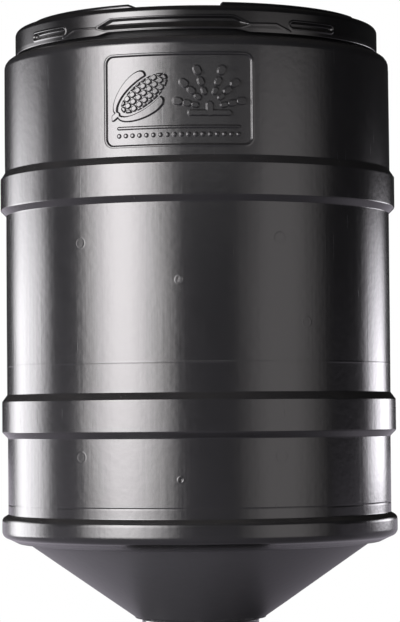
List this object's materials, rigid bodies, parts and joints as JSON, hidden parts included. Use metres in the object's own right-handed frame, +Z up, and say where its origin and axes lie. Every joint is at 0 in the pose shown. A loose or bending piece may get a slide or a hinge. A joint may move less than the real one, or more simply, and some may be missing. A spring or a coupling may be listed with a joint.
{
  "type": "spin cast feeder",
  "caption": "Black barrel hopper with a screw-ring lid and a funnel bottom, over a battery-driven spinner unit that throws grain outward.",
  "frame": {"origin": "on the barrel's axis at the lowest point of the spinner nut", "axes": "+Z up along the barrel's axis, -Y towards the front, where the moulded badge and the control door are, +X to the right seen from the front"},
  "size_m": [0.5229, 0.523, 1.0047],
  "materials": {
    "hopper_plastic": "black blow-moulded polyethylene, satin with a faint grain",
    "lid_plastic": "black injection-moulded polyethylene, satin",
    "throat_plastic": "black moulded plastic, glossy",
    "seal_rubber": "black rubber, matte",
    "unit_plastic": "black moulded plastic, fine texture",
    "chute_plastic": "dark grey moulded plastic, worn smooth",
    "bracket_paint": "black powder coat",
    "fastener_steel": "zinc-plated steel",
    "spinner_steel": "galvanised sheet steel",
    "motor_steel": "drawn steel can",
    "shaft_steel": "ground steel",
    "bush_bronze": "sintered bronze",
    "panel_plastic": "grey moulded plastic, fine texture",
    "display_panel": "grey-green display",
    "lens_glass": "clear window",
    "led_red": "red lens",
    "board_green": "green circuit board",
    "button_grey": "grey silicone",
    "button_red": "red silicone",
    "switch_black": "black nylon",
    "rocker_red": "red moulded plastic",
    "battery_case": "dark grey battery case",
    "terminal_tin": "plated brass",
    "tray_steel": "grey powder coat",
    "wire_red": "red cable jacket",
    "wire_black": "black cable jacket",
    "jack_metal": "nickel-plated",
    "knob_plastic": "dark grey moulded plastic"
  },
  "bodies": {
    "hopper": {"hopper_barrel": "hopper_plastic", "throat_seal": "seal_rubber", "throat_collar": "throat_plastic", "collar_bolts": "fastener_steel", "collar_nuts": "fastener_steel", "unit_housing": "unit_plastic", "flange_screws": "fastener_steel", "flange_nuts": "fastener_steel", "feed_chute": "chute_plastic", "base_pan": "unit_plastic", "pan_screws": "fastener_steel", "motor_bracket": "bracket_paint", "bracket_screws": "fastener_steel", "motor_cover": "unit_plastic", "motor_can": "motor_steel", "shaft_bush": "bush_bronze", "control_panel": "panel_plastic", "panel_screws": "fastener_steel", "lcd_screen": "display_panel", "lcd_lens": "lens_glass", "status_led": "led_red", "timer_board": "board_green", "board_screws": "fastener_steel", "switch_frame": "switch_black", "battery": "battery_case", "battery_terminals": "terminal_tin", "battery_tray": "tray_steel", "tray_screws": "fastener_steel", "battery_lead_red": "wire_red", "battery_lead_black": "wire_black", "motor_lead": "wire_red", "wire_grommet": "seal_rubber", "charge_jack": "jack_metal", "jack_nut": "jack_metal", "door_hinge_pin": "shaft_steel", "battery_door_pin": "shaft_steel"},
    "lid": {"lid_disc": "lid_plastic", "lid_gasket": "seal_rubber"},
    "screw_ring": {"lid_ring": "lid_plastic"},
    "spinner": {"motor_shaft": "shaft_steel", "spinner_hub": "shaft_steel", "hub_set_screw": "fastener_steel", "spinner_plate": "spinner_steel", "plate_washer": "fastener_steel", "plate_nut": "fastener_steel"},
    "front_door": {"control_door": "unit_plastic", "door_seal": "seal_rubber"},
    "front_latch": {"door_latch_knob": "knob_plastic", "door_latch_cam": "fastener_steel"},
    "rear_door": {"battery_door": "unit_plastic", "battery_door_seal": "seal_rubber"},
    "rear_latch": {"battery_latch_knob": "knob_plastic", "battery_latch_cam": "fastener_steel"},
    "menu_button": {"button_menu": "button_grey"},
    "minus_button": {"button_minus": "button_grey"},
    "plus_button": {"button_plus": "button_grey"},
    "test_button": {"button_test": "button_red"},
    "rocker": {"power_rocker": "rocker_red"}
  },
  "joints": [
    {"name": "lid_lift", "type": "slide", "parent": "hopper", "child": "lid", "axis": [0, 0, 1], "range_m": [0, 0.12]},
    {"name": "ring_turn", "type": "hinge", "parent": "lid", "child": "screw_ring", "pos_m": [0, 0, 0.984], "axis": [0, 0, 1], "range_deg": [0, 360]},
    {"name": "spinner_spin", "type": "hinge", "parent": "hopper", "child": "spinner", "pos_m": [0, 0, 0.02], "axis": [0, 0, 1], "continuous": true},
    {"name": "front_door_swing", "type": "hinge", "parent": "hopper", "child": "front_door", "pos_m": [-0.091, -0.124, 0.106], "axis": [0, 0, -1], "range_deg": [0, 110]},
    {"name": "front_latch_turn", "type": "hinge", "parent": "front_door", "child": "front_latch", "pos_m": [0.062, -0.12, 0.106], "axis": [0, -1, 0], "range_deg": [0, 90]},
    {"name": "rear_door_swing", "type": "hinge", "parent": "hopper", "child": "rear_door", "pos_m": [0.091, 0.124, 0.106], "axis": [0, 0, -1], "range_deg": [0, 110]},
    {"name": "rear_latch_turn", "type": "hinge", "parent": "rear_door", "child": "rear_latch", "pos_m": [-0.062, 0.12, 0.106], "axis": [0, 1, 0], "range_deg": [0, 90]},
    {"name": "menu_button_press", "type": "slide", "parent": "hopper", "child": "menu_button", "axis": [0, 1, 0], "range_m": [0, 0.0012]},
    {"name": "minus_button_press", "type": "slide", "parent": "hopper", "child": "minus_button", "axis": [0, 1, 0], "range_m": [0, 0.0012]},
    {"name": "plus_button_press", "type": "slide", "parent": "hopper", "child": "plus_button", "axis": [0, 1, 0], "range_m": [0, 0.0012]},
    {"name": "test_button_press", "type": "slide", "parent": "hopper", "child": "test_button", "axis": [0, 1, 0], "range_m": [0, 0.0012]},
    {"name": "rocker_tip", "type": "hinge", "parent": "hopper", "child": "rocker", "pos_m": [0.034, -0.1035, 0.126], "axis": [-1, 0, 0], "range_deg": [0, 24]}
  ]
}
